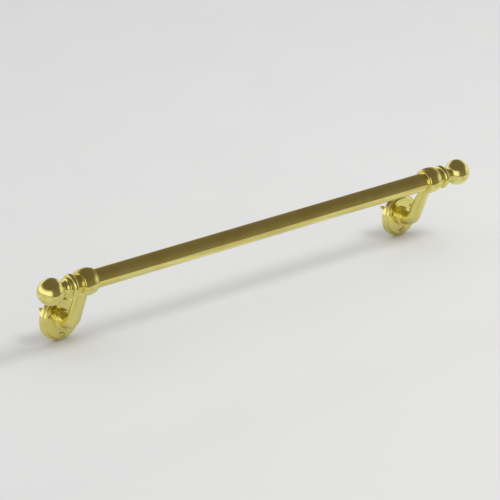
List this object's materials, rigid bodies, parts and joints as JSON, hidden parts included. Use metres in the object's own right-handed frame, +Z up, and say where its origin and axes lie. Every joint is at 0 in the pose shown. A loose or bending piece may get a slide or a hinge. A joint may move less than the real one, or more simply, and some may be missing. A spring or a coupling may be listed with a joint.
{
  "type": "sash lift handle",
  "caption": "Polished brass bar-type sash lift: a tube with ball ends carried on two cranked arms, each screwed to the window rail through a round rose.",
  "frame": {"origin": "midway between the two roses, on the plane of their backs, which is the face of the sash rail", "axes": "+X along the bar to the right as seen from the room, +Y into the sash, +Z up as installed"},
  "size_m": [0.406, 0.056, 0.0655],
  "materials": {
    "polished_brass": "polished, lacquered",
    "brass_screws": "plain turned brass",
    "steel_fixings": "zinc plated"
  },
  "bodies": {
    "root": {"rail": "polished_brass", "rose_left": "polished_brass", "wood_screws_left": "brass_screws", "arm_left": "polished_brass", "arm_screw_left": "steel_fixings", "arm_pin_left": "steel_fixings", "grub_screw_left": "steel_fixings", "end_plug_left": "brass_screws", "finial_stud_left": "steel_fixings", "finial_collar_left": "polished_brass", "ball_finial_left": "polished_brass", "rose_right": "polished_brass", "wood_screws_right": "brass_screws", "arm_right": "polished_brass", "arm_screw_right": "steel_fixings", "arm_pin_right": "steel_fixings", "grub_screw_right": "steel_fixings", "end_plug_right": "brass_screws", "finial_stud_right": "steel_fixings", "finial_collar_right": "polished_brass", "ball_finial_right": "polished_brass"}
  },
  "joints": []
}
